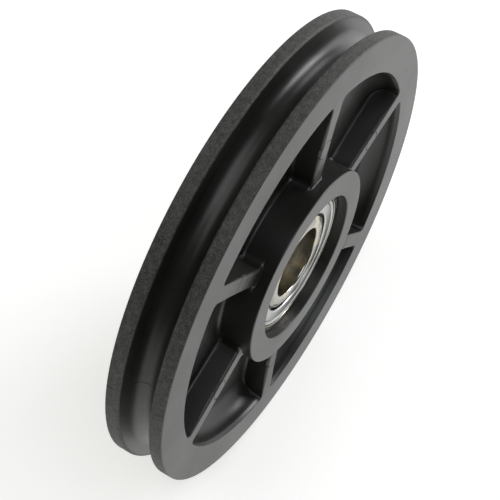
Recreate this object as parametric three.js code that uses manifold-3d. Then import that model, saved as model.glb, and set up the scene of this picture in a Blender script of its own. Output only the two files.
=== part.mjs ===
// A rope sheave: a moulded nylon wheel that turns on a shielded deep-groove ball bearing.
// Millimetres. The wheel turns about Y, Z is up, and the origin is the centre of the wheel.
import * as THREE from 'three';
import { mergeVertices } from 'three/addons/utils/BufferGeometryUtils.js';
import Module from 'manifold-3d';

const wasm = await Module();
wasm.setup();

// Wheel
const WHEEL_DIAMETER = 130;
const RIM_WIDTH = 16.4;
const RIM_DEPTH = 10.2;            // rim face, from the wheel's edge inwards
const RIM_CHAMFER = 0.4;
const GROOVE_DEPTH = 6.4;
const GROOVE_FLOOR_RADIUS = 3.75;  // seats a 7 mm rope
const GROOVE_FLANK_LEAN = 12;      // degrees outwards from straight up
const GROOVE_LIP = 0.5;            // broken edge between a land and the groove
const WEB_THICKNESS = 2;
const HUB_FILLET = 1.2;            // web to hub
const RIM_FILLET = 3;              // web to rim
const WALL_DRAFT = 0.3;            // rim and hub walls grow this much down to the web
const HUB_WALL = 7.2;              // around the bearing
const HUB_LIP = 2.8;               // hub stands this far past each side of the bearing
const HUB_CHAMFER = 0.5;
const RIB_COUNT = 6;
const RIB_THICKNESS = 4.8;
const RIB_DROP = 0.7;              // a rib's top falls this far from the rim to the hub
const FIRST_RIB = 16.6;            // degrees from straight up, as the wheel came to rest

// Bearing
const BEARING_DIAMETER = 42;
const BEARING_BORE = 20;
const BEARING_WIDTH = 16;
const BALL_COUNT = 9;
const BALL_DIAMETER = 6.35;
const INNER_LAND_DROP = 1.9;       // inner ring's shoulder, inside the pitch circle
const OUTER_LAND_RISE = 2.2;       // outer ring's shoulder, outside the pitch circle
const RING_CHAMFER = 0.7;
const SHIELD_STEP = 1.4;           // ledge in the outer ring that carries a shield
const SHIELD_THICKNESS = 0.5;
const SHIELD_SET_BACK = 0.1;       // from the side of the rings
const SHIELD_DISH = 0.15;
const CAGE_THICKNESS = 0.6;
const CAGE_BREADTH = 2.4;
const RIVET_DIAMETER = 1;
const RIVET_HEAD = 0.4;            // height of a head
const RIVET_HEAD_DIAMETER = 1.6;
const RIVET_CROWN_DIAMETER = 1.1;  // flat top of a head

// Clearances
const SEAT_GAP = 0.15;             // bearing in its seat, shield on its ledge
const RACE_GAP = 0.15;             // ball to race
const SHIELD_GAP = 0.8;            // shield to the turning inner ring
const POCKET_GAP = 0.25;           // ball to cage
const CAGE_SPLIT = 0.2;            // between the two cage halves
const RIVET_GAP = 0.12;

// Facets
const WHEEL_FACETS = 64;
const RING_FACETS = 48;
const CAGE_FACETS = 36;
const BALL_FACETS = 12;
const BALL_RINGS = 8;
const RIVET_FACETS = 8;
const SAME_POINT = 1e-4;           // vertices closer than this are one

const wheelRadius = WHEEL_DIAMETER / 2;
const halfRim = RIM_WIDTH / 2;
const halfBearing = BEARING_WIDTH / 2;
const bearingRadius = BEARING_DIAMETER / 2;
const boreRadius = BEARING_BORE / 2;
const ballRadius = BALL_DIAMETER / 2;
const pitchRadius = (bearingRadius + boreRadius) / 2;
const innerLand = pitchRadius - INNER_LAND_DROP;
const outerLand = pitchRadius + OUTER_LAND_RISE;
const ledgeRadius = outerLand + SHIELD_STEP;
const raceRadius = ballRadius + RACE_GAP;

const nylon = new THREE.MeshStandardMaterial({ color: 0x2b2c2a, roughness: 0.45, metalness: 0 });
const ringSteel = new THREE.MeshStandardMaterial({ color: 0xc9c8c4, roughness: 0.25, metalness: 1 });
const ballSteel = new THREE.MeshStandardMaterial({ color: 0xdcdcdc, roughness: 0.08, metalness: 1 });
const sheetSteel = new THREE.MeshStandardMaterial({ color: 0xb4b4b0, roughness: 0.35, metalness: 1 });

const radians = (degrees) => degrees * Math.PI / 180;

// Points on an arc in the (radius, y) plane, between two angles measured from the radius axis.
function arc(centreR, centreY, radius, from, to, steps) {
  return Array.from({ length: steps + 1 }, (_, i) => {
    const angle = radians(from + (to - from) * i / steps);
    return [centreR + radius * Math.cos(angle), centreY + radius * Math.sin(angle)];
  });
}

// A half profile, listed from y = 0 at its inner side to y = 0 at its outer side, and its
// mirror image below. It runs clockwise so that the turned faces point outwards.
function mirrored(half) {
  const lower = half.filter(([, y]) => y > SAME_POINT).map(([r, y]) => [r, -y]).reverse();
  return [...half, ...lower];
}

// Turns a closed (radius, y) loop about Y.
function turned(loop, facets) {
  const points = loop.map(([r, y]) => new THREE.Vector2(r, y));
  points.push(points[0].clone());
  return outward(new THREE.LatheGeometry(points.reverse(), facets));
}

// Merges a closed geometry's doubled vertices, and turns its faces outwards if they point in.
function outward(geometry) {
  geometry.deleteAttribute('normal');
  geometry.deleteAttribute('uv');
  const merged = mergeVertices(geometry, SAME_POINT);
  const p = merged.attributes.position;
  const index = merged.index.array;
  const [a, b, c] = [new THREE.Vector3(), new THREE.Vector3(), new THREE.Vector3()];
  const kept = [];
  let volume = 0;
  for (let i = 0; i < index.length; i += 3) {
    const [ia, ib, ic] = [index[i], index[i + 1], index[i + 2]];
    if (ia === ib || ib === ic || ic === ia) continue;
    a.fromBufferAttribute(p, ia);
    b.fromBufferAttribute(p, ib);
    c.fromBufferAttribute(p, ic);
    volume += a.dot(b.cross(c));
    kept.push(ia, ib, ic);
  }
  merged.setIndex(volume < 0 ? kept.reverse() : kept);
  return merged;
}

function solid(geometry) {
  return new wasm.Manifold(new wasm.Mesh({
    numProp: 3,
    vertProperties: new Float32Array(geometry.attributes.position.array),
    triVerts: new Uint32Array(geometry.index.array),
  }));
}

function geometryOf(manifold) {
  const mesh = manifold.getMesh();
  const geometry = new THREE.BufferGeometry();
  geometry.setAttribute('position', new THREE.BufferAttribute(mesh.vertProperties, 3));
  geometry.setIndex(new THREE.BufferAttribute(mesh.triVerts, 1));
  geometry.computeVertexNormals();
  return geometry;
}

// Angle from straight up, towards +X, to a place on a circle about the wheel's axis.
function onCircle(radius, degrees) {
  return new THREE.Vector3(radius * Math.sin(radians(degrees)), 0, radius * Math.cos(radians(degrees)));
}

const evenly = (count, first) => Array.from({ length: count }, (_, i) => first + 360 * i / count);

// ---- Wheel: hub, web, ribs and grooved rim in one moulding ----

function grooveHalf() {
  const floorR = wheelRadius - GROOVE_DEPTH + GROOVE_FLOOR_RADIUS;
  const floor = arc(floorR, 0, GROOVE_FLOOR_RADIUS, 90 + GROOVE_FLANK_LEAN, 180, 4);
  const [flankR, flankY] = floor[0];
  const mouthY = flankY + (wheelRadius - flankR) * Math.tan(radians(GROOVE_FLANK_LEAN));
  const lipY = mouthY - GROOVE_LIP * Math.tan(radians(GROOVE_FLANK_LEAN));
  return [[wheelRadius, mouthY + GROOVE_LIP], [wheelRadius - GROOVE_LIP, lipY], ...floor];
}

function wheelProfile() {
  const seat = bearingRadius + SEAT_GAP;
  const hub = bearingRadius + HUB_WALL;
  const halfHub = halfBearing + HUB_LIP;
  const rimInner = wheelRadius - RIM_DEPTH;
  const web = WEB_THICKNESS / 2;
  const hubFoot = hub + WALL_DRAFT;
  const rimFoot = rimInner - WALL_DRAFT;
  return mirrored([
    [seat, 0],
    [seat, halfHub - HUB_CHAMFER],
    [seat + HUB_CHAMFER, halfHub],
    [hub - HUB_CHAMFER, halfHub],
    [hub, halfHub - HUB_CHAMFER],
    ...arc(hubFoot + HUB_FILLET, web + HUB_FILLET, HUB_FILLET, 180, 270, 1),
    ...arc(rimFoot - RIM_FILLET, web + RIM_FILLET, RIM_FILLET, 270, 360, 2),
    [rimInner, halfRim],
    [wheelRadius - RIM_CHAMFER, halfRim],
    [wheelRadius, halfRim - RIM_CHAMFER],
    ...grooveHalf(),
  ]);
}

// One rib is a flat plate through the web: its two long edges are the rib tops of both sides.
function rib(degrees) {
  const inner = bearingRadius + HUB_WALL / 2;
  const hub = bearingRadius + HUB_WALL;
  const rimInner = wheelRadius - RIM_DEPTH;
  const outer = wheelRadius - (RIM_DEPTH + GROOVE_DEPTH) / 2;
  const slope = RIB_DROP / (rimInner - hub);
  const innerTop = halfRim - slope * (rimInner - inner);
  const outline = [[inner, innerTop], [rimInner, halfRim], [outer, halfRim]];
  const shape = new THREE.Shape([
    ...outline.map(([r, y]) => new THREE.Vector2(r, y)),
    ...outline.map(([r, y]) => new THREE.Vector2(r, -y)).reverse(),
  ]);
  const plate = new THREE.ExtrudeGeometry(shape, { depth: RIB_THICKNESS, bevelEnabled: false });
  plate.translate(0, 0, -RIB_THICKNESS / 2);
  plate.rotateY(radians(degrees - 90));
  return solid(outward(plate));
}

function wheel() {
  let body = solid(turned(wheelProfile(), WHEEL_FACETS));
  for (const degrees of evenly(RIB_COUNT, FIRST_RIB)) body = body.add(rib(degrees));
  return geometryOf(body);
}

// ---- Bearing rings, with a race for the balls and, outside, a ledge for each shield ----

function outerRing() {
  const chamfer = Math.min(RING_CHAMFER, (bearingRadius - ledgeRadius) / 2);
  const ledgeY = halfBearing - SHIELD_SET_BACK - SHIELD_THICKNESS - SEAT_GAP;
  const raceEdge = THREE.MathUtils.radToDeg(Math.acos(OUTER_LAND_RISE / raceRadius));
  return turned(mirrored([
    ...arc(pitchRadius, 0, raceRadius, 0, raceEdge, 3),
    [outerLand, ledgeY],
    [ledgeRadius, ledgeY],
    [ledgeRadius, halfBearing],
    [bearingRadius - chamfer, halfBearing],
    [bearingRadius, halfBearing - chamfer],
    [bearingRadius, 0],
  ]), RING_FACETS);
}

function innerRing() {
  const raceEdge = 180 - THREE.MathUtils.radToDeg(Math.acos(INNER_LAND_DROP / raceRadius));
  return turned(mirrored([
    [boreRadius, 0],
    [boreRadius, halfBearing - RING_CHAMFER],
    [boreRadius + RING_CHAMFER, halfBearing],
    [innerLand - RING_CHAMFER / 2, halfBearing],
    [innerLand, halfBearing - RING_CHAMFER / 2],
    ...arc(pitchRadius, 0, raceRadius, raceEdge, 180, 3),
  ]), RING_FACETS);
}

// ---- Shields: pressed washers, dished towards the balls ----

function shield(side) {
  const outer = halfBearing - SHIELD_SET_BACK;
  const inner = outer - SHIELD_THICKNESS;
  const rim = ledgeRadius - SEAT_GAP;
  const edge = innerLand + SHIELD_GAP;
  const step = rim - SHIELD_STEP;
  const loop = [
    [edge, inner - SHIELD_DISH],
    [edge, outer - SHIELD_DISH],
    [step - SHIELD_DISH, outer - SHIELD_DISH],
    [step, outer],
    [rim, outer],
    [rim, inner],
    [step, inner],
    [step - SHIELD_DISH, inner - SHIELD_DISH],
  ];
  return turned(loop.map(([r, y]) => [r, side * y]), RING_FACETS);
}

// ---- Cage: two riveted ribbons, each flat between the balls and domed over them ----

function cageHalf(side) {
  const flat = CAGE_SPLIT / 2;
  const pocket = ballRadius + POCKET_GAP;
  const [from, to] = [pitchRadius - CAGE_BREADTH / 2, pitchRadius + CAGE_BREADTH / 2];
  const band = (height) => solid(turned(
    [[from, flat], [from, height], [to, height], [to, flat]], CAGE_FACETS));
  const ball = (radius) => solid(outward(new THREE.SphereGeometry(radius, BALL_FACETS, BALL_RINGS)));
  const places = evenly(BALL_COUNT, 0).map((degrees) => onCircle(pitchRadius, degrees).toArray());
  let domes = band(flat + CAGE_THICKNESS);
  for (const place of places) domes = domes.add(ball(pocket + CAGE_THICKNESS).translate(place));
  let half = domes.intersect(band(pocket + 2 * CAGE_THICKNESS));
  for (const place of places) half = half.subtract(ball(pocket).translate(place));
  const hole = new THREE.CylinderGeometry(
    RIVET_DIAMETER / 2 + RIVET_GAP, RIVET_DIAMETER / 2 + RIVET_GAP, BEARING_WIDTH, RIVET_FACETS);
  const drill = solid(outward(hole));
  for (const degrees of rivetAngles()) {
    half = half.subtract(drill.translate(onCircle(pitchRadius, degrees).toArray()));
  }
  const geometry = geometryOf(half);
  if (side < 0) geometry.rotateZ(Math.PI);
  return geometry;
}

const rivetAngles = () => evenly(BALL_COUNT, 180 / BALL_COUNT);

function rivet() {
  const shank = RIVET_DIAMETER / 2;
  const head = RIVET_HEAD_DIAMETER / 2;
  const under = CAGE_SPLIT / 2 + CAGE_THICKNESS + RIVET_GAP;
  const top = under + RIVET_HEAD;
  const half = [[shank, under], [head, under], [RIVET_CROWN_DIAMETER / 2, top], [0, top]];
  const lower = half.map(([r, y]) => new THREE.Vector2(r, -y)).reverse();
  const points = [...lower, ...half.map(([r, y]) => new THREE.Vector2(r, y))];
  return outward(new THREE.LatheGeometry(points, RIVET_FACETS));
}

// ---- Assembly ----

const sheave = new THREE.Group();

function place(name, geometry, material, position) {
  const mesh = new THREE.Mesh(geometry, material);
  mesh.name = name;
  if (position) mesh.position.copy(position);
  sheave.add(mesh);
}

place('sheave_wheel', wheel(), nylon);
place('bearing_outer_ring', outerRing(), ringSteel);
place('bearing_inner_ring', innerRing(), ringSteel);
place('shield_front', shield(-1), sheetSteel);
place('shield_rear', shield(1), sheetSteel);
place('cage_front', cageHalf(-1), sheetSteel);
place('cage_rear', cageHalf(1), sheetSteel);
evenly(BALL_COUNT, 0).forEach((degrees, i) => {
  const ball = outward(new THREE.SphereGeometry(ballRadius, BALL_FACETS, BALL_RINGS));
  place(`ball_${i + 1}`, ball, ballSteel, onCircle(pitchRadius, degrees));
});
rivetAngles().forEach((degrees, i) => {
  place(`cage_rivet_${i + 1}`, rivet(), sheetSteel, onCircle(pitchRadius, degrees));
});

export default sheave;
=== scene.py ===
"""A nylon rope sheave that turns on a shielded ball bearing. Metres; the wheel's axis is Y."""
import math

import bmesh
import bpy
import numpy as np
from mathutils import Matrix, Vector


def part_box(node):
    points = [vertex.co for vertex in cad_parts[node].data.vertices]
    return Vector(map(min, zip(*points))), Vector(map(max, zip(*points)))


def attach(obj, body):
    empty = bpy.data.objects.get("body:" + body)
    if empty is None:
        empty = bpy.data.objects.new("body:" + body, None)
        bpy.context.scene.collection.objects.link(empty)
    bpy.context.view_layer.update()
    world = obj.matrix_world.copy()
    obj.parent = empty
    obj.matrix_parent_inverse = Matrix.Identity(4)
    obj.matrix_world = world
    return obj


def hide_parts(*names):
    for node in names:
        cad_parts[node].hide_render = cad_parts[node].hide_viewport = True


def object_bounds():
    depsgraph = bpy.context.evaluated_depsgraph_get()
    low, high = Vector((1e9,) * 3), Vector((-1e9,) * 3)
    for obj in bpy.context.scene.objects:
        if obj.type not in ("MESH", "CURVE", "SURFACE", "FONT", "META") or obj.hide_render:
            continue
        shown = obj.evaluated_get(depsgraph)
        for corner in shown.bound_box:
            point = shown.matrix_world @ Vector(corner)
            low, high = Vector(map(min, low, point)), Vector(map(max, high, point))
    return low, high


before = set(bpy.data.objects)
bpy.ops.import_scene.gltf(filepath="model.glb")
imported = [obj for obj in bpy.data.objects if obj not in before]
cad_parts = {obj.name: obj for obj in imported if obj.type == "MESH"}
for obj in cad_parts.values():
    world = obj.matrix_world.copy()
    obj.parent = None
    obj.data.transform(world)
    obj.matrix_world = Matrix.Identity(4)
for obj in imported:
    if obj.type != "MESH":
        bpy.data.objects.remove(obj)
cad_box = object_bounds()

# ---------------------------------------------------------------- studio
# A glowing white table that the wheel stands on, in a dark room with two windows low on the
# right, and soft boxes overhead and in front. The camera looks down onto the front face.
MM = 0.001
CAMERA_AZIMUTH = math.radians(-58.12)
CAMERA_ELEVATION = math.radians(59.14)
CAMERA_DISTANCE = 361.2 * MM
CAMERA_LENS = 97.87
SENSOR_WIDTH = 36.0
NEAREST_SEEN = 10 * MM
WHEEL_RIGHT_OF_AXIS = 5.92 * MM
WHEEL_ABOVE_AXIS = 0.24 * MM
TABLE_SIZE = 4.0
TABLE_WHITE = (0.9, 0.9, 0.9, 1)
TABLE_TINT = (1, 0.995, 0.965, 1)
TABLE_GLOW = 0.49
ROOM = (0.022, 0.023, 0.018, 1)
BACKDROP = (0.86, 0.87, 0.87, 1)

back = np.array([
    math.sin(CAMERA_AZIMUTH) * math.cos(CAMERA_ELEVATION),
    -math.cos(CAMERA_AZIMUTH) * math.cos(CAMERA_ELEVATION),
    math.sin(CAMERA_ELEVATION),
])
right = np.array([math.cos(CAMERA_AZIMUTH), math.sin(CAMERA_AZIMUTH), 0.0])
up = np.cross(back, right)
camera_data = bpy.data.cameras.new("camera")
camera_data.lens = CAMERA_LENS
camera_data.sensor_width = SENSOR_WIDTH
camera_data.clip_start = NEAREST_SEEN
camera = bpy.data.objects.new("camera", camera_data)
camera.location = back * CAMERA_DISTANCE - right * WHEEL_RIGHT_OF_AXIS - up * WHEEL_ABOVE_AXIS
camera.rotation_euler = (math.pi / 2 - CAMERA_ELEVATION, 0.0, CAMERA_AZIMUTH)
bpy.context.scene.collection.objects.link(camera)
bpy.context.scene.camera = camera
bpy.context.scene.view_settings.view_transform = "Standard"

table_height = cad_box[0].z
half = TABLE_SIZE / 2
table_mesh = bpy.data.meshes.new("table")
table_mesh.from_pydata(
    [(-half, -half, table_height), (half, -half, table_height),
     (half, half, table_height), (-half, half, table_height)], [], [(0, 1, 2, 3)])
table = bpy.data.objects.new("table", table_mesh)
bpy.context.scene.collection.objects.link(table)
table_paint = bpy.data.materials.new("white_table")
table_paint.use_nodes = True
table_shader = table_paint.node_tree.nodes["Principled BSDF"]
table_shader.inputs["Base Color"].default_value = TABLE_WHITE
table_shader.inputs["Roughness"].default_value = 0.9
table_shader.inputs["Specular IOR Level"].default_value = 0.1
table_shader.inputs["Emission Color"].default_value = TABLE_TINT
table_shader.inputs["Emission Strength"].default_value = TABLE_GLOW
table_mesh.materials.append(table_paint)

room = bpy.data.worlds.new("room")
room.use_nodes = True
room_tree = room.node_tree
seen = room_tree.nodes.new("ShaderNodeLightPath")
paint = room_tree.nodes.new("ShaderNodeMix")
paint.data_type = "RGBA"
room_tree.links.new(seen.outputs["Is Camera Ray"], paint.inputs["Factor"])
paint.inputs[6].default_value = ROOM
paint.inputs[7].default_value = BACKDROP
room_tree.links.new(paint.outputs[2], room_tree.nodes["Background"].inputs["Color"])
bpy.context.scene.world = room


def soft_box(name, place, width, depth, power, tint):
    """A flat area light at place, turned to face the wheel's centre."""
    data = bpy.data.lights.new(name, "AREA")
    data.shape = "RECTANGLE"
    data.size = width
    data.size_y = depth
    data.energy = power
    data.color = tint
    lamp = bpy.data.objects.new(name, data)
    lamp.location = place
    away = np.array(place) / np.linalg.norm(place)
    lamp.rotation_euler = (math.acos(away[2]), 0, math.atan2(away[0], -away[1]))
    bpy.context.scene.collection.objects.link(lamp)


# name, place in metres, width, depth, watts, tint
soft_box("window_behind", (0.86, 0.13, 0.39), 0.35, 0.35, 1.5, (0.97, 0.96, 1.0))
soft_box("window_in_front", (0.72, -0.42, 0.27), 0.35, 0.3, 4.4, (0.97, 0.96, 1.0))
soft_box("overhead_box", (-0.22, 0.3, 0.93), 0.8, 0.8, 2.9, (1.0, 1.0, 0.97))
soft_box("front_box", (-0.12, -0.36, 0.84), 0.6, 0.6, 2.4, (0.95, 0.98, 1.0))


# ---------------------------------------------------------------- wheel
# One moulding of black nylon: a hub round the bearing, a thin web, six ribs a side and a
# grooved rim. Two slides form the groove, so two fine parting lines run across the rim.
_, wheel_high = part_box("sheave_wheel")
RIM_RADIUS = wheel_high.z
HUB_HALF = wheel_high.y
RIM_HALF = 8.2 * MM
RIM_FACE = 10.2 * MM
RIM_INSIDE = RIM_RADIUS - RIM_FACE
RIM_SEAM = RIM_INSIDE + 1.2 * MM          # circle where the pockets' patches meet the rim's
HUB_RADIUS = 28.2 * MM
RIB_HALF = 2.4 * MM
RIB_DROP = 0.7 * MM
WEB_HALF = 1.0 * MM
POCKET_CORNER = 1.6 * MM
WALL_DRAFT = 0.35 * MM
DRAFT_FADE = 3.0 * MM                     # the draft fades to nothing this close to the hub
ROOT_FILLET = 1.0 * MM                    # web to hub and ribs
RIM_FILLET = 6.0 * MM                     # web to rim
EDGE_ROUND = 0.3 * MM
RIB_ROUND = 0.7 * MM
RIM_REACH = 9.0 * MM                      # from here to 1 mm off the rim, ribs take its rounding
RIM_NEAR = 1.0 * MM
HUB_FILLET = 0.35 * MM
HUB_RISE = 0.5 * MM                       # last stretch of the hub wall, beside a pocket
FIRST_RIB = math.radians(16.6)
RIBS = 6
GROOVE_FLOOR = 3.75 * MM
GROOVE_DEPTH = 6.4 * MM
FLANK_LEAN = math.radians(12)
LIP_ROUND = 0.8 * MM
SEAT_RADIUS = 21.03 * MM
SEAT_DRAFT = 0.08 * MM
PARTING_RIDGE = 0.07 * MM
PARTING_WIDTH = 0.14 * MM
PARTING_STEP = 0.05 * MM
PARTING_FADE = 0.25                       # angle over which the step fades
PARTING_SECTOR = 4
BUNCHING = 0.85                           # how much closer rows stand near a corner
CLOSE_ROW = 0.03                          # a row this share of the way in keeps an edge crisp
FLOOR_ROWS = (0, 0.15, 0.3, 0.42, 0.54, 0.64, 0.73, 0.8, 0.86, 0.91, 0.95, 0.985)
WALL_ROWS = (CLOSE_ROW, 0.35, 0.7, 1 - CLOSE_ROW, 1.0)
TOP_ROWS = (CLOSE_ROW, 0.4, 0.65, 0.8, 0.9, 0.96, 1.0)
FILLET_STEPS = 10
ROUND_STEPS = 6
RIB_COLUMNS = 24
HUB_COLUMNS = 24
RIM_COLUMNS = 44
HALVINGS = 42
WELD = 2e-7
half_sector = math.pi / RIBS


def spread(count, waves):
    """0 to 1 in count steps, u - bunching sin(2 pi w u) / (2 pi w), short where the cosine is 1."""
    u = np.linspace(0, 1, count + 1)
    turn = 2 * np.pi * waves
    return u - BUNCHING * np.sin(turn * u) / turn


def arc(centre, radius, start, stop, steps):
    """Points centre + radius (cos a, sin a) in the (radius, y) plane, a in degrees."""
    a = np.radians(np.linspace(start, stop, steps + 1))
    return np.stack([centre[0] + radius * np.cos(a), centre[1] + radius * np.sin(a)], -1)


def line(start, stop, steps):
    """Points evenly from start to stop, with a row close to each end to keep edges crisp."""
    t = np.linspace(0, 1, steps + 1)
    t = np.unique(np.concatenate([t, [CLOSE_ROW, 1 - CLOSE_ROW]]))[:, None]
    return np.array(start) * (1 - t) + np.array(stop) * t


def joined(parts):
    """Stacks stretches of a profile, each its points and marks, with the marks once per point."""
    points, *marks = zip(*parts)
    counts = [len(stretch) for stretch in points]
    return np.vstack(points), *(np.repeat(np.array(mark, float), counts) for mark in marks)


def full_turn(steps):
    """Angles of a whole turn, without its last."""
    return np.linspace(0, 2 * np.pi, steps, endpoint=False)


def turn_round(profile, angles):
    """Carries (radius, y) points round the Y axis: x = r sin a, z = r cos a."""
    r, y = profile[:, 0, None], profile[:, 1, None]
    return np.stack([r * np.sin(angles), y + 0 * angles, r * np.cos(angles)], -1)


def mesh_of(name, patches):
    """Welds grids of points [rows, columns, 3] into one mesh; columns close into a ring."""
    points, quads, edge, start = [], [], [], 0
    for grid, sharp in patches:
        rows, columns = grid.shape[:2]
        index = start + np.arange(rows * columns).reshape(rows, columns)
        index = np.hstack([index, index[:, :1]])
        quads.append(np.stack([index[:-1, :-1], index[:-1, 1:], index[1:, 1:], index[1:, :-1]], -1))
        points.append(grid.reshape(-1, 3))
        edge.append(np.broadcast_to(sharp.reshape(rows, -1), (rows, columns)).ravel())
        start += rows * columns
    mesh = bpy.data.meshes.new(name)
    faces = np.vstack([q.reshape(-1, 4) for q in quads])
    mesh.from_pydata(np.vstack(points).tolist(), [], faces.tolist())
    layer = mesh.attributes.new("edge", "FLOAT", "POINT")
    layer.data.foreach_set("value", np.concatenate(edge).astype(np.float32))
    solid = bmesh.new()
    solid.from_mesh(mesh)
    bmesh.ops.remove_doubles(solid, verts=solid.verts, dist=WELD)
    bmesh.ops.recalc_face_normals(solid, faces=solid.faces)
    solid.to_mesh(mesh)
    solid.free()
    mesh.shade_smooth()
    piece = bpy.data.objects.new(name, mesh)
    bpy.context.scene.collection.objects.link(piece)
    return piece


def rounded_min(a, b, radius):
    """min(a, b), with a quarter circle of that radius where both are smaller than it."""
    corner = radius - np.hypot(np.clip(radius - a, 0, None), np.clip(radius - b, 0, None))
    return np.where((a >= radius) & (b >= radius), np.minimum(a, b), corner)


def pocket_depth(x, z):
    """How far a place lies inside a pocket's outline, whose middle is straight up from the axis.
    It is the rounded_min of the distances to the hub, the rim and the two ribs."""
    r = np.hypot(x, z)
    radial = np.minimum(r - HUB_RADIUS, RIM_INSIDE - r)
    across = z * math.sin(half_sector) - np.abs(x) * math.cos(half_sector) - RIB_HALF
    return rounded_min(radial, across, POCKET_CORNER)


def fillet_rise(distance, radius):
    """Height of a quarter-circle fillet of that radius, at a distance from the wall it climbs."""
    into = np.clip(radius - distance, 0, radius)
    return radius - np.sqrt(radius ** 2 - into ** 2)


def wall_draft(r):
    """How far a pocket's wall leans out over its height, at a distance from the axis."""
    return WALL_DRAFT * np.clip((r - HUB_RADIUS) / DRAFT_FADE, 0, 1)


def floor_height(x, z):
    """Height of a pocket's floor: the web plus two fillets, the root of the sum of their squares."""
    r = np.hypot(x, z)
    to_rim = RIM_INSIDE - WALL_DRAFT - r
    to_wall = pocket_depth(x, z) - wall_draft(r)
    return WEB_HALF + np.hypot(fillet_rise(to_rim, RIM_FILLET), fillet_rise(to_wall, ROOT_FILLET))


def top_height(r):
    """Height of the rib tops: the rim's, less a straight fall to the hub and a fillet up it."""
    inward = np.clip((RIM_INSIDE - r) / (RIM_INSIDE - HUB_RADIUS), 0, 1)
    into = np.clip(HUB_RADIUS + HUB_FILLET - r, 0, HUB_FILLET)
    return RIM_HALF - RIB_DROP * inward + HUB_FILLET - np.sqrt(HUB_FILLET ** 2 - into ** 2)


def pocket_patch(rim_angles, hub_angles):
    """One pocket and the half ribs round it, as rings from its middle out to the sector's edge.
    Each point lies on a ray, and halving finds where the ray meets each depth of the outline.
    The rings cross the floor, its fillet, the wall, the rounded edge and the rib's top."""
    rib = HUB_RADIUS + (RIM_SEAM - HUB_RADIUS) * spread(RIB_COLUMNS, 1)
    plan = [
        (HUB_RADIUS * np.sin(hub_angles), HUB_RADIUS * np.cos(hub_angles)),
        (rib[1:] * math.sin(half_sector), rib[1:] * math.cos(half_sector)),
        (RIM_SEAM * np.sin(rim_angles[::-1][1:]), RIM_SEAM * np.cos(rim_angles[::-1][1:])),
        (-rib[::-1][1:-1] * math.sin(half_sector), rib[::-1][1:-1] * math.cos(half_sector)),
    ]
    edge_x, edge_z = np.hstack(plan)
    middle = (HUB_RADIUS + RIM_INSIDE) / 2
    edge_r = np.hypot(edge_x, edge_z)
    near_rim = np.clip((edge_r - RIM_INSIDE + RIM_REACH) / (RIM_REACH - RIM_NEAR), 0, 1)
    near_rim = near_rim * near_rim * (3 - 2 * near_rim)
    fillet = ROOT_FILLET + (RIM_FILLET - ROOT_FILLET) * near_rim
    round_over = RIB_ROUND + (EDGE_ROUND - RIB_ROUND) * near_rim
    rounded = np.clip(-pocket_depth(edge_x, edge_z) / round_over, 0, 1)
    rows, edge_rows = [], []

    def at(share):
        return share * edge_x, middle + share * (edge_z - middle)

    def reach(depth):
        low, high = np.zeros_like(edge_x), np.ones_like(edge_x)
        for _ in range(HALVINGS):
            mid = (low + high) / 2
            inside = pocket_depth(*at(mid)) > depth
            low, high = np.where(inside, mid, low), np.where(inside, high, mid)
        return high

    def add(share, height, edge=0.0):
        x, z = at(share)
        rows.append(np.stack([x, height + 0 * x, z], -1))
        edge_rows.append(edge * rounded)

    draft = wall_draft(edge_r)
    floor_share = reach(draft + fillet)
    for share in FLOOR_ROWS:
        add(floor_share * share, floor_height(*at(floor_share * share)))
    for a in np.radians(np.linspace(0, 90, FILLET_STEPS + 1)):
        reached = reach(draft + fillet * (1 - math.sin(a)))
        wall_foot = floor_height(*at(reached))
        add(reached, wall_foot)
    outline = reach(np.zeros_like(edge_x))
    outline_top = top_height(np.hypot(*at(outline)))
    wall_top = outline_top - round_over - (1 - rounded) * HUB_RISE
    for share in WALL_ROWS:
        reached = reach(draft * (1 - share))
        add(reached, wall_foot + (wall_top - wall_foot) * share)
    for a in np.radians(np.linspace(0, 90, ROUND_STEPS + 1)[1:]):
        reached = reach(-rounded * round_over * (1 - math.cos(a)))
        top = top_height(np.hypot(*at(reached)))
        add(reached, top - round_over * (1 - math.sin(a)) - (1 - rounded) * HUB_RISE, 1.0)
    top_start = reached
    for share in TOP_ROWS:
        reached = top_start + (1 - top_start) * share
        top = top_height(np.hypot(*at(reached)))
        add(reached, top - (1 - rounded) * HUB_RISE * (1 - share))
    return np.array(rows), np.array(edge_rows)


def turned_in_plan(grid, angle):
    """Turns points about Y, straight up towards +X."""
    x, y, z = np.moveaxis(grid, -1, 0)
    c, s = math.cos(angle), math.sin(angle)
    return np.stack([x * c + z * s, y, z * c - x * s], -1)


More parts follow.
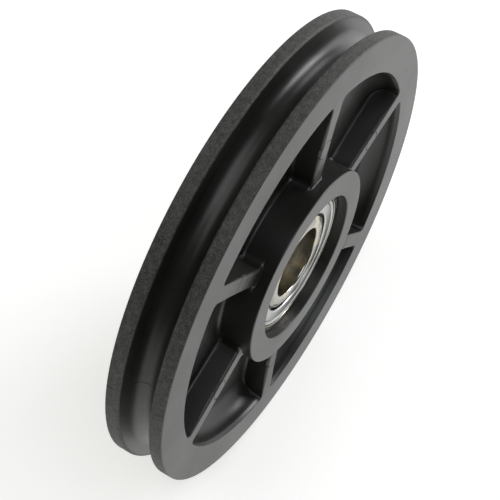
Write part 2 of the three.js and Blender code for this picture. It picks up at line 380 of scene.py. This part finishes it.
def rim_profile():
    """Rim face, rounded edge, land, lip, leaning flank and round floor down to the middle. The
    first mark is for edge wear, and the second says that the two slides form the stretch."""
    floor_centre = RIM_RADIUS - GROOVE_DEPTH + GROOVE_FLOOR
    floor_arc = arc((floor_centre, 0), GROOVE_FLOOR, 90 + math.degrees(FLANK_LEAN), 180, 16)
    lip_stop = math.degrees(FLANK_LEAN) - 90
    flank_r = RIM_RADIUS - LIP_ROUND * (1 - math.cos(math.radians(lip_stop)))
    flank_y = floor_arc[0, 1] + (flank_r - floor_arc[0, 0]) * math.tan(FLANK_LEAN)
    lip_y = flank_y - LIP_ROUND * math.sin(math.radians(lip_stop))
    parts = [
        (line((RIM_SEAM, RIM_HALF), (RIM_RADIUS - EDGE_ROUND, RIM_HALF), 3), 0, 0),
        (arc((RIM_RADIUS - EDGE_ROUND, RIM_HALF - EDGE_ROUND), EDGE_ROUND, 90, 0, 5)[1:], 1, 0),
        (line((RIM_RADIUS, RIM_HALF - EDGE_ROUND), (RIM_RADIUS, lip_y), 4)[1:], 0, 1),
        (arc((RIM_RADIUS - LIP_ROUND, lip_y), LIP_ROUND, 0, lip_stop, 7)[1:], 0.6, 1),
        (line((flank_r, flank_y), floor_arc[0], 4)[1:-1], 0, 1),
        (floor_arc[:-1], 0, 1),
    ]
    profile, edge, slide = joined(parts)
    middle = [[RIM_RADIUS - GROOVE_DEPTH, 0]]
    whole = np.vstack([profile, middle, (profile * [1, -1])[::-1]])
    return whole, np.concatenate([edge, [0], edge[::-1]]), np.concatenate([slide, [1], slide[::-1]])


def hub_profile():
    """Hub wall above the ribs, its rounded edges and face, and the seat for the bearing."""
    base = top_height(np.array(HUB_RADIUS))
    mouth = SEAT_RADIUS + SEAT_DRAFT
    parts = [
        (line((HUB_RADIUS, base), (HUB_RADIUS, HUB_HALF - EDGE_ROUND), 2), 0),
        (arc((HUB_RADIUS - EDGE_ROUND, HUB_HALF - EDGE_ROUND), EDGE_ROUND, 0, 90, 5)[1:], 1),
        (line((HUB_RADIUS - EDGE_ROUND, HUB_HALF), (mouth + EDGE_ROUND, HUB_HALF), 3)[1:], 0),
        (arc((mouth + EDGE_ROUND, HUB_HALF - EDGE_ROUND), EDGE_ROUND, 90, 180, 5)[1:], 1),
        (line((mouth, HUB_HALF - EDGE_ROUND), (SEAT_RADIUS, 0), 6)[1:-1], 0),
    ]
    profile, edge = joined(parts)
    whole = np.vstack([profile, [[SEAT_RADIUS, 0]], (profile * [1, -1])[::-1]])
    return whole, np.concatenate([edge, [0], edge[::-1]])


rim_angles = half_sector * (2 * spread(RIM_COLUMNS, 2) - 1)
hub_angles = half_sector * (2 * spread(HUB_COLUMNS, 1) - 1)
pocket, pocket_edge = pocket_patch(rim_angles, hub_angles)
sectors = FIRST_RIB + half_sector * (1 + 2 * np.arange(RIBS))
patches = []
for sector in sectors:
    turned_pocket = turned_in_plan(pocket, sector)
    patches.append((turned_pocket, pocket_edge))
    patches.append((turned_pocket * [1, -1, 1], pocket_edge))

profile, edge, slide = rim_profile()
around = (sectors[:, None] + rim_angles[None, :-1]).ravel()
rim = turn_round(profile, around)
off_line = (around - sectors[PARTING_SECTOR] + np.pi / 2) % np.pi - np.pi / 2
ridge = PARTING_RIDGE * np.exp(-(off_line * RIM_RADIUS / PARTING_WIDTH) ** 2)
step = -PARTING_STEP * (off_line > 0) * np.exp(-np.abs(off_line) / PARTING_FADE)
grow = 1 + slide[:, None] * (ridge + step) / profile[:, 0, None]
patches.append((rim * np.stack([grow, np.ones_like(grow), grow], -1), edge))

profile, edge = hub_profile()
around = (sectors[:, None] + hub_angles[None, :-1]).ravel()
patches.append((turn_round(profile, around), edge))
wheel = mesh_of("moulded_wheel", patches)


def node_group(name, inputs, outputs):
    """A shader node group with float or vector sockets, and the two nodes that hold them."""
    tree = bpy.data.node_groups.new(name, "ShaderNodeTree")
    for label, kind, value in inputs:
        socket = tree.interface.new_socket(label, in_out="INPUT", socket_type=kind)
        if value is not None:
            socket.default_value = value
    for label, kind in outputs:
        tree.interface.new_socket(label, in_out="OUTPUT", socket_type=kind)
    return tree, tree.nodes.new("NodeGroupInput"), tree.nodes.new("NodeGroupOutput")


def math_node(tree, operation, a, b=None, c=None):
    """A Math node fed by sockets or numbers; gives its output socket."""
    node = tree.nodes.new("ShaderNodeMath")
    node.operation = operation
    for slot_index, value in enumerate((a, b, c)):
        if isinstance(value, bpy.types.NodeSocket):
            tree.links.new(value, node.inputs[slot_index])
        elif value is not None:
            node.inputs[slot_index].default_value = value
    return node.outputs[0]


def plus(tree, a, b):
    """a + b as a node."""
    return math_node(tree, "ADD", a, b)


def times(tree, a, b):
    """a times b as a node."""
    return math_node(tree, "MULTIPLY", a, b)


def length_of(tree, a, b):
    """The root of a squared plus b squared, as nodes."""
    return math_node(tree, "SQRT", plus(tree, times(tree, a, a), times(tree, b, b)))


def noise(tree, vector, scale, detail=3.0, roughness=0.55):
    """A noise texture's value at that scale, read at vector."""
    node = tree.nodes.new("ShaderNodeTexNoise")
    node.inputs["Scale"].default_value = scale
    node.inputs["Detail"].default_value = detail
    node.inputs["Roughness"].default_value = roughness
    tree.links.new(vector, node.inputs["Vector"])
    return node.outputs["Fac"]


def ramp(tree, value, low, high):
    """Maps value from low..high to 0..1 with smooth ends."""
    node = tree.nodes.new("ShaderNodeMapRange")
    node.interpolation_type = "SMOOTHSTEP"
    node.inputs["From Min"].default_value = low
    node.inputs["From Max"].default_value = high
    tree.links.new(value, node.inputs["Value"])
    return node.outputs["Result"]


def mix_colour(tree, share, a, b):
    """Colour a where share is 0 and b where it is 1."""
    node = tree.nodes.new("ShaderNodeMix")
    node.data_type = "RGBA"
    tree.links.new(share, node.inputs["Factor"])
    for index, value in ((6, a), (7, b)):
        if isinstance(value, bpy.types.NodeSocket):
            tree.links.new(value, node.inputs[index])
        else:
            node.inputs[index].default_value = (*value, 1)
    return node.outputs[2]


def new_material(name):
    """A material with its tree, its Principled shader and its Object coordinates."""
    material = bpy.data.materials.new(name)
    material.use_nodes = True
    tree = material.node_tree
    place = tree.nodes.new("ShaderNodeTexCoord").outputs["Object"]
    return material, tree, tree.nodes["Principled BSDF"], place


def group_node(tree, group, **values):
    """Places a group in a tree and links or sets its inputs by name."""
    node = tree.nodes.new("ShaderNodeGroup")
    node.node_tree = group
    for label, value in values.items():
        socket = node.inputs[label.replace("_", " ").capitalize()]
        if isinstance(value, bpy.types.NodeSocket):
            tree.links.new(value, socket)
        else:
            socket.default_value = value
    return node.outputs


def bump(tree, height, distance, normal=None):
    """Bends the normal by a height in 0..1 that stands distance metres tall."""
    node = tree.nodes.new("ShaderNodeBump")
    node.inputs["Distance"].default_value = distance
    node.inputs["Strength"].default_value = 1.0
    tree.links.new(height, node.inputs["Height"])
    if normal is not None:
        tree.links.new(normal, node.inputs["Normal"])
    return node.outputs["Normal"]


# Handling: faint smudges, as a mask that changes slowly over the surface.
handling, group_in, group_out = node_group(
    "handling", [("Place", "NodeSocketVector", None), ("Size", "NodeSocketFloat", 60.0)],
    [("Smudge", "NodeSocketFloat")])
scaled = handling.nodes.new("ShaderNodeVectorMath")
scaled.operation = "SCALE"
handling.links.new(group_in.outputs["Place"], scaled.inputs[0])
handling.links.new(group_in.outputs["Size"], scaled.inputs["Scale"])
smudge = ramp(handling, noise(handling, scaled.outputs[0], 1.0, 4.0, 0.6), 0.35, 0.7)
handling.links.new(smudge, group_out.inputs["Smudge"])

# Edge wear: the mesh's edge attribute, broken up by noise into small bright nicks.
NICKS = 2200.0                            # noise scales are per metre
edge_wear, group_in, group_out = node_group(
    "edge_wear", [("Place", "NodeSocketVector", None)], [("Wear", "NodeSocketFloat")])
marked = edge_wear.nodes.new("ShaderNodeAttribute")
marked.attribute_name = "edge"
nicks = ramp(edge_wear, noise(edge_wear, group_in.outputs["Place"], NICKS, 4.0, 0.7), 0.45, 0.66)
edge_wear.links.new(times(edge_wear, marked.outputs["Fac"], nicks), group_out.inputs["Wear"])

# Black nylon: smooth in the pockets and groove, grainy on the lands, pin marks on the ribs with a line
# of painted shade round each.
LAND_START = 0.9 * MM                     # the grain starts this deep below the rim's edge
LAND_FULL = 0.25 * MM
FACE_EDGE = 0.03 * MM
SPARK_FINE = 2600.0
SPARK_WIDE = 700.0
SPARK_DEPTH = 0.09 * MM
SKIN = 1900.0
SKIN_DEPTH = 0.008 * MM
SMUDGES = 38.0
PIN_CIRCLE = 39.6 * MM                    # ejector pins pressed on the rib tops here
PIN_RADIUS = 2.7 * MM
PIN_STEP = 0.16 * MM
PIN_EDGE = 0.06 * MM
PIN_LINE = 0.05 * MM                      # a line of painted shade round each mark's step, and where it has faded
PIN_LINE_END = 0.2 * MM
RIB_FOOT = RIM_HALF - RIB_DROP            # lowest height of the rib tops
TOP_START = 0.5 * MM
TOP_FULL = 0.2 * MM
BLACK = (0.0115, 0.012, 0.01)
SMUDGED_BLACK = (0.018, 0.0185, 0.016)
GRAIN_DARK = (0.022, 0.0225, 0.02)
GRAIN_LIGHT = (0.085, 0.086, 0.078)
WORN_BLACK = (0.11, 0.11, 0.1)
# painted shade: the near-black of the line round each pin mark, standing in for the shadow at its step
PIN_SHADE_BLACK = (0.004, 0.004, 0.004)

nylon, tree, shader, place = new_material("black_nylon")
axes = tree.nodes.new("ShaderNodeSeparateXYZ")
tree.links.new(place, axes.inputs[0])
radius = length_of(tree, axes.outputs["X"], axes.outputs["Z"])
height = math_node(tree, "ABSOLUTE", axes.outputs["Y"])
# the slides are spark-eroded, so the lands they form are grainy; the polished core is not
on_land = ramp(tree, radius, RIM_RADIUS - LAND_START, RIM_RADIUS - LAND_FULL)
off_face = ramp(tree, height, RIM_HALF - FACE_EDGE, RIM_HALF - EDGE_ROUND)
land = times(tree, on_land, off_face)
fine = noise(tree, place, SPARK_FINE, 3.0, 0.8)
wide = noise(tree, place, SPARK_WIDE, 2.0, 0.5)
grain = plus(tree, times(tree, fine, 0.75), times(tree, wide, 0.25))
skin = noise(tree, place, SKIN, 3.0, 0.6)
# angle to the nearest rib, then the distance to the pin that pressed on that rib
angle = math_node(tree, "ARCTAN2", axes.outputs["X"], axes.outputs["Z"])
turn = math_node(tree, "SUBTRACT", angle, FIRST_RIB)
fold = math_node(tree, "WRAP", turn, half_sector, -half_sector)
along = times(tree, radius, math_node(tree, "COSINE", fold))
across = times(tree, radius, math_node(tree, "SINE", fold))
to_pin = length_of(tree, math_node(tree, "SUBTRACT", along, PIN_CIRCLE), across)
on_top = ramp(tree, height, RIB_FOOT - TOP_START, RIB_FOOT - TOP_FULL)
pin = ramp(tree, to_pin, PIN_RADIUS + PIN_EDGE, PIN_RADIUS - PIN_EDGE)
around_pin = math_node(tree, "SUBTRACT", 1.0, times(tree, pin, on_top))
off_line = math_node(tree, "ABSOLUTE", math_node(tree, "SUBTRACT", to_pin, PIN_RADIUS))
# painted shade: a thin dark ring along each pin mark's step on the rib tops, which is also made
# rougher
pin_shade_line = times(tree, ramp(tree, off_line, PIN_LINE_END, PIN_LINE), on_top)
mottle = group_node(tree, handling, place=place, size=SMUDGES)
wear = group_node(tree, edge_wear, place=place)["Wear"]
black = mix_colour(tree, mottle["Smudge"], BLACK, SMUDGED_BLACK)
grainy = mix_colour(tree, ramp(tree, grain, 0.4, 0.62), GRAIN_DARK, GRAIN_LIGHT)
colour = mix_colour(tree, land, black, grainy)
colour = mix_colour(tree, times(tree, wear, 0.35), colour, WORN_BLACK)
# paints the shade line round the pin marks
colour = mix_colour(tree, times(tree, pin_shade_line, 0.8), colour, PIN_SHADE_BLACK)
tree.links.new(colour, shader.inputs["Base Color"])
gloss = plus(tree, times(tree, mottle["Smudge"], 0.06), 0.3)
gloss = plus(tree, gloss, times(tree, land, 0.26))
gloss = plus(tree, gloss, times(tree, skin, 0.06))
gloss = plus(tree, gloss, times(tree, pin_shade_line, 0.4))
tree.links.new(gloss, shader.inputs["Roughness"])
shader.inputs["IOR"].default_value = 1.5
relief = bump(tree, times(tree, grain, land), SPARK_DEPTH)
relief = bump(tree, skin, SKIN_DEPTH, relief)
relief = bump(tree, around_pin, PIN_STEP, relief)
tree.links.new(relief, shader.inputs["Normal"])
wheel.data.materials.append(nylon)
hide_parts("sheave_wheel")
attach(wheel, "wheel")


# ---------------------------------------------------------------- bearing rings
# Two hardened, ground rings. The outer ring is pressed into the hub and turns with it; the
# inner ring is clamped on the axle and stands still. Each carries half of the balls' race.
_, outer_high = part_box("bearing_outer_ring")
_, inner_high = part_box("bearing_inner_ring")
RING_HALF = outer_high.y
OUTER_RADIUS = outer_high.z
INNER_OUTSIDE = inner_high.z
BORE_RADIUS = 10 * MM
PITCH_RADIUS = 15.5 * MM
RACE_RADIUS = 3.25 * MM
OUTER_LAND = 17.7 * MM
LEDGE_RADIUS = 19.1 * MM
LEDGE_HEIGHT = 7.25 * MM
RING_ROUND = 0.6 * MM
LIP_EDGE = 0.15 * MM                      # round on the outer ring's face, beside the shield
RACE_SIDE = 0.4 * RING_HALF               # the race's arc ends about here
CORNER_GAP = 0.05 * MM                    # a row this far from a corner keeps it crisp
FALL_START = 0.02 * MM
FALL_END = 0.03 * MM
SHOULDER = 12.3 * MM                      # inner ring's face ends here and slopes away
SHOULDER_FALL = 0.55 * MM
RING_STEPS = 160


def ring_of(name, half_profile, edge):
    """Turns a half profile and its mirror image, closed on itself, about Y."""
    whole = np.vstack([half_profile, (half_profile * [1, -1])[::-1], half_profile[:1]])
    marks = np.concatenate([edge, edge[::-1], edge[:1]])
    return mesh_of(name, [(turn_round(whole, full_turn(RING_STEPS)), marks)])


outer_race = math.degrees(math.acos((OUTER_LAND - PITCH_RADIUS) / RACE_RADIUS))
outer_profile, outer_edge = joined([
    (arc((PITCH_RADIUS, 0), RACE_RADIUS, 0, outer_race, 10), 0),
    (line((OUTER_LAND, RACE_SIDE), (OUTER_LAND, LEDGE_HEIGHT), 2), 0),
    (line((OUTER_LAND + CORNER_GAP, LEDGE_HEIGHT), (LEDGE_RADIUS, LEDGE_HEIGHT), 2), 0),
    (line((LEDGE_RADIUS, LEDGE_HEIGHT + CORNER_GAP), (LEDGE_RADIUS, RING_HALF - LIP_EDGE), 2), 0),
    (arc((LEDGE_RADIUS + LIP_EDGE, RING_HALF - LIP_EDGE), LIP_EDGE, 180, 90, 4)[1:], 1),
    (line((LEDGE_RADIUS + 2 * LIP_EDGE, RING_HALF), (OUTER_RADIUS - RING_ROUND, RING_HALF), 2), 0),
    (arc((OUTER_RADIUS - RING_ROUND, RING_HALF - RING_ROUND), RING_ROUND, 90, 0, 6)[1:], 1),
    (line((OUTER_RADIUS, RING_HALF - RING_ROUND), (OUTER_RADIUS, 0), 3)[1:], 0),
])
outer_ring = ring_of("outer_race_ring", outer_profile, outer_edge)

inner_race = math.degrees(math.acos((INNER_OUTSIDE - PITCH_RADIUS) / RACE_RADIUS))
fall_foot = RING_HALF - SHOULDER_FALL
inner_profile, inner_edge = joined([
    (line((BORE_RADIUS, 0), (BORE_RADIUS, RING_HALF - RING_ROUND), 3)[:-1], 0),
    (arc((BORE_RADIUS + RING_ROUND, RING_HALF - RING_ROUND), RING_ROUND, 180, 90, 6), 1),
    (line((BORE_RADIUS + RING_ROUND, RING_HALF), (SHOULDER, RING_HALF), 2)[1:], 0),
    (line((SHOULDER + FALL_START, RING_HALF), (INNER_OUTSIDE, fall_foot), 3)[1:], 0),
    (line((INNER_OUTSIDE, fall_foot - FALL_END), (INNER_OUTSIDE, RACE_SIDE), 3), 0),
    (arc((PITCH_RADIUS, 0), RACE_RADIUS, inner_race, 180, 10), 0),
])
inner_ring = ring_of("inner_race_ring", inner_profile, inner_edge)

# Turned marks: fine rings round the axis, from noise that is stretched along the angle.
ALONG_TURN = 0.4                          # how fast the marks change along the angle
BAND_SCALE = 0.12
turned_marks, group_in, group_out = node_group(
    "turned_marks", [("Place", "NodeSocketVector", None), ("Fineness", "NodeSocketFloat", 6000.0)],
    [("Height", "NodeSocketFloat"), ("Band", "NodeSocketFloat")])
parts = turned_marks.nodes.new("ShaderNodeSeparateXYZ")
turned_marks.links.new(group_in.outputs["Place"], parts.inputs[0])
ring_radius = length_of(turned_marks, parts.outputs["X"], parts.outputs["Z"])
angle = math_node(turned_marks, "ARCTAN2", parts.outputs["X"], parts.outputs["Z"])
fineness = group_in.outputs["Fineness"]
stretched = turned_marks.nodes.new("ShaderNodeCombineXYZ")
turned_marks.links.new(times(turned_marks, ring_radius, fineness), stretched.inputs[0])
turned_marks.links.new(times(turned_marks, parts.outputs["Y"], fineness), stretched.inputs[1])
turned_marks.links.new(times(turned_marks, angle, ALONG_TURN), stretched.inputs[2])
mark_height = noise(turned_marks, stretched.outputs[0], 1.0, 3.0, 0.6)
band = noise(turned_marks, stretched.outputs[0], BAND_SCALE, 2.0, 0.5)
turned_marks.links.new(mark_height, group_out.inputs["Height"])
turned_marks.links.new(band, group_out.inputs["Band"])

FILM_PATCHES = 170.0
STEEL_SMUDGES = 260.0
WORN_LIFT = 1.15                          # worn edges are this much lighter


def steel(name, light, dark, film, roughness, mark_depth, fineness):
    """Bright steel with turned marks in two tones, patches of dried oil film and worn edges."""
    material, tree, shader, place = new_material(name)
    marks = group_node(tree, turned_marks, place=place, fineness=fineness)
    touch = group_node(tree, handling, place=place, size=STEEL_SMUDGES)
    wear = group_node(tree, edge_wear, place=place)["Wear"]
    worn = tuple(min(1, WORN_LIFT * c) for c in light)
    tone = mix_colour(tree, ramp(tree, marks["Band"], 0.35, 0.65), dark, light)
    patch = ramp(tree, noise(tree, place, FILM_PATCHES, 1.0, 0.5), 0.48, 0.6)
    tone = mix_colour(tree, times(tree, patch, 0.8), tone, film)
    tone = mix_colour(tree, times(tree, wear, 0.5), tone, worn)
    tree.links.new(tone, shader.inputs["Base Color"])
    shader.inputs["Metallic"].default_value = 1.0
    matt = plus(tree, times(tree, touch["Smudge"], 0.05), roughness)
    matt = plus(tree, matt, times(tree, marks["Height"], 0.05))
    tree.links.new(matt, shader.inputs["Roughness"])
    tree.links.new(bump(tree, marks["Height"], mark_depth), shader.inputs["Normal"])
    return material


ring_steel = steel(
    "ground_ring_steel", light=(0.46, 0.45, 0.42), dark=(0.32, 0.3, 0.26), film=(0.6, 0.55, 0.42),
    roughness=0.17, mark_depth=0.0004 * MM, fineness=7000.0)
for piece, node, body in ((outer_ring, "bearing_outer_ring", "wheel"),
                          (inner_ring, "bearing_inner_ring", "inner_ring")):
    piece.data.materials.append(ring_steel)
    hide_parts(node)
    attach(piece, body)


# ---------------------------------------------------------------- shields
# A washer of pressed sheet steel on each side, curled at its rim to snap into the outer ring's
# ledge. It turns with the outer ring and leaves a fine dark gap round the inner ring.
SHIELD_RIM = 18.95 * MM
SHIELD_HOLE = 14.4 * MM
SHIELD_TOP = 7.9 * MM
SHIELD_VALLEY = 17.9 * MM
SHIELD_WALL = 0.4 * MM
RIM_CURL = 0.3 * MM
HOLE_CURL = 0.45 * MM
VALLEY_ROUND = 0.3 * MM
VALLEY_LIFT = 0.02 * MM                   # the valley's centre stands this far over the plate
PLATE_START = 0.45 * MM                   # the plate runs from the valley to the curled hole
PLATE_STOP = 0.5 * MM
KEPT_UNDER = 0.7                          # the underside is kept below this share of the wall


def shield_profile():
    """Skin from the curled rim over a pressed valley to the curled hole; the underside is the
    same line carried inwards by the wall's thickness along its normal."""
    rim_curl = arc((SHIELD_RIM - RIM_CURL, SHIELD_TOP - RIM_CURL), RIM_CURL, 0, 100, 7)
    valley = arc((SHIELD_VALLEY, SHIELD_TOP + VALLEY_LIFT), VALLEY_ROUND, 325, 215, 8)
    plate = line((SHIELD_VALLEY - PLATE_START, SHIELD_TOP), (SHIELD_HOLE + PLATE_STOP, SHIELD_TOP), 4)
    hole = arc((SHIELD_HOLE + HOLE_CURL, SHIELD_TOP - HOLE_CURL), HOLE_CURL, 90, 185, 8)
    skin = np.vstack([rim_curl, valley, plate, hole])
    along_skin = np.gradient(skin, axis=0)
    inward = np.stack([-along_skin[:, 1], along_skin[:, 0]], -1)
    inward /= np.linalg.norm(inward, axis=1, keepdims=True)
    under = skin + inward * SHIELD_WALL
    r, y = under[:, 0], under[:, 1]
    keep = (r > SHIELD_HOLE) & (r < SHIELD_RIM) & (y < SHIELD_TOP - KEPT_UNDER * SHIELD_WALL)
    return np.vstack([skin, under[keep][::-1]])


sheet_steel = steel(
    "pressed_sheet_steel", light=(0.6, 0.61, 0.6), dark=(0.5, 0.51, 0.5), film=(0.5, 0.52, 0.49),
    roughness=0.25, mark_depth=0.0007 * MM, fineness=3500.0)
shield_loop = shield_profile()
shield_loop = np.vstack([shield_loop, shield_loop[:1]])
for side, name, node in ((-1, "front_shield", "shield_front"), (1, "rear_shield", "shield_rear")):
    grid = turn_round(shield_loop * [1, side], full_turn(RING_STEPS))
    shield = mesh_of(name, [(grid, np.zeros(len(shield_loop)))])
    shield.data.materials.append(sheet_steel)
    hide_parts(node)
    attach(shield, "wheel")


# ---------------------------------------------------------------- balls
# Nine balls of hardened steel, ground and polished. Each lies in a pocket of the cage and
# rolls between the two races. Each is a sphere swept as rings about Y.
BALLS = 9
BALL_RADIUS = 3.175 * MM
BALL_RINGS = 28
BALL_COLUMNS = 56
BALL_SMUDGES = 400.0
POLISHED = (0.78, 0.78, 0.78)
SMUDGED = (0.7, 0.7, 0.69)

polished, tree, shader, place = new_material("polished_ball_steel")
touch = group_node(tree, handling, place=place, size=BALL_SMUDGES)
tree.links.new(mix_colour(tree, touch["Smudge"], POLISHED, SMUDGED), shader.inputs["Base Color"])
shader.inputs["Metallic"].default_value = 1.0
matt = plus(tree, times(tree, touch["Smudge"], 0.05), 0.04)
tree.links.new(matt, shader.inputs["Roughness"])


def on_pitch_circle(angle):
    """A place on the circle through the balls' centres."""
    return np.array([PITCH_RADIUS * math.sin(angle), 0, PITCH_RADIUS * math.cos(angle)])


ball_profile = arc((0, 0), BALL_RADIUS, -90, 90, BALL_RINGS)
ball_profile[[0, -1], 0] = 0
ball_grid = turn_round(ball_profile, full_turn(BALL_COLUMNS))
for number in range(BALLS):
    centre = on_pitch_circle(2 * np.pi * number / BALLS)
    ball = mesh_of(f"polished_ball_{number + 1}", [(ball_grid + centre, np.zeros(len(ball_profile)))])
    ball.data.materials.append(polished)
    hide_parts(f"ball_{number + 1}")
    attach(ball, f"rolling_ball_{number + 1}")


# ---------------------------------------------------------------- cage
# Two ribbons of pressed sheet steel that meet between the balls and dome over each ball, so
# that they keep the balls apart. Round-headed steel rivets between the balls join the halves.
CAGE_HALF_BREADTH = 1.2 * MM
CAGE_WALL = 0.55 * MM
CAGE_FLAT = 0.4 * MM                       # mid-thickness of the flats, from the middle plane
CAGE_DOME = 3.72 * MM
CAGE_FILLET = 0.8 * MM
PRESSED_EDGE = 0.08 * MM
RIVET_RADIUS = 0.5 * MM
RIVET_HEAD_RADIUS = 0.8 * MM              # radius of the head's dome
RIVET_BRIM = 0.87 * RIVET_HEAD_RADIUS
RIVET_UNDER = 0.8 * MM                    # underside of the head, from the middle plane
RIVET_SINK = 0.4 * MM                     # the dome's centre lies this far under the head
RIVET_COLUMNS = 24


def ribbon_path():
    """Mid-line of one ball's stretch of ribbon: flat, fillet, dome, fillet, flat, with normals."""
    pitch = PITCH_RADIUS * 2 * math.pi / BALLS
    fillet_y = CAGE_FLAT + CAGE_FILLET
    fillet_x = math.sqrt((CAGE_DOME + CAGE_FILLET) ** 2 - fillet_y ** 2)
    lean = math.degrees(math.atan2(fillet_y, fillet_x))
    flat = np.array([[x, CAGE_FLAT] for x in np.linspace(-pitch / 2, -fillet_x, 5)[:-1]])
    flat_up = np.tile([0.0, 1.0], (len(flat), 1))
    a = np.radians(np.linspace(-90, lean, 9)[:-1])
    bend = np.stack([-fillet_x + CAGE_FILLET * np.cos(a), fillet_y + CAGE_FILLET * np.sin(a)], -1)
    bend_up = -np.stack([np.cos(a), np.sin(a)], -1)
    b = np.radians(np.linspace(180 - lean, 90, 15))
    dome = CAGE_DOME * np.stack([np.cos(b), np.sin(b)], -1)
    dome_up = np.stack([np.cos(b), np.sin(b)], -1)
    half_path = np.vstack([flat, bend, dome])
    half_up = np.vstack([flat_up, bend_up, dome_up])
    path = np.vstack([half_path, (half_path * [-1, 1])[::-1][1:-1]])
    return path, np.vstack([half_up, (half_up * [-1, 1])[::-1][1:-1]])


path, normal = ribbon_path()
turns = full_turn(BALLS)
for side, name, node in ((-1, "front_cage_half", "cage_front"), (1, "rear_cage_half", "cage_rear")):
    rows = []
    for across, out in ((-1, -1), (-1, 1), (1, 1), (1, -1), (-1, -1)):
        wall = path + normal * out * CAGE_WALL / 2
        angles = (turns[:, None] + wall[None, :, 0] / PITCH_RADIUS).ravel()
        heights = side * np.tile(wall[:, 1], BALLS)
        r = PITCH_RADIUS + across * CAGE_HALF_BREADTH
        rows.append(np.stack([r * np.sin(angles), heights, r * np.cos(angles)], -1))
    cage = mesh_of(name, [(np.array(rows), np.zeros(len(rows)))])
    trim = cage.modifiers.new("pressed_edge", "BEVEL")
    trim.width = PRESSED_EDGE
    trim.segments = 2
    trim.limit_method = "ANGLE"
    cage.data.materials.append(sheet_steel)
    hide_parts(node)
    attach(cage, "cage")

dome = arc((0, RIVET_UNDER - RIVET_SINK), RIVET_HEAD_RADIUS, 30, 90, 8)
dome[-1, 0] = 0
shank = [[RIVET_RADIUS, 0], [RIVET_RADIUS, RIVET_UNDER]]
rivet_half = np.vstack([shank, [[RIVET_BRIM, RIVET_UNDER]], dome[1:]])
rivet_profile = np.vstack([(rivet_half * [1, -1])[::-1], rivet_half[1:]])
rivet_grid = turn_round(rivet_profile, full_turn(RIVET_COLUMNS))
for number in range(BALLS):
    centre = on_pitch_circle(2 * np.pi * (number + 0.5) / BALLS)
    rivet = mesh_of(f"round_rivet_{number + 1}", [(rivet_grid + centre, np.zeros(len(rivet_profile)))])
    rivet.data.materials.append(sheet_steel)
    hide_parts(f"cage_rivet_{number + 1}")
    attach(rivet, "cage")
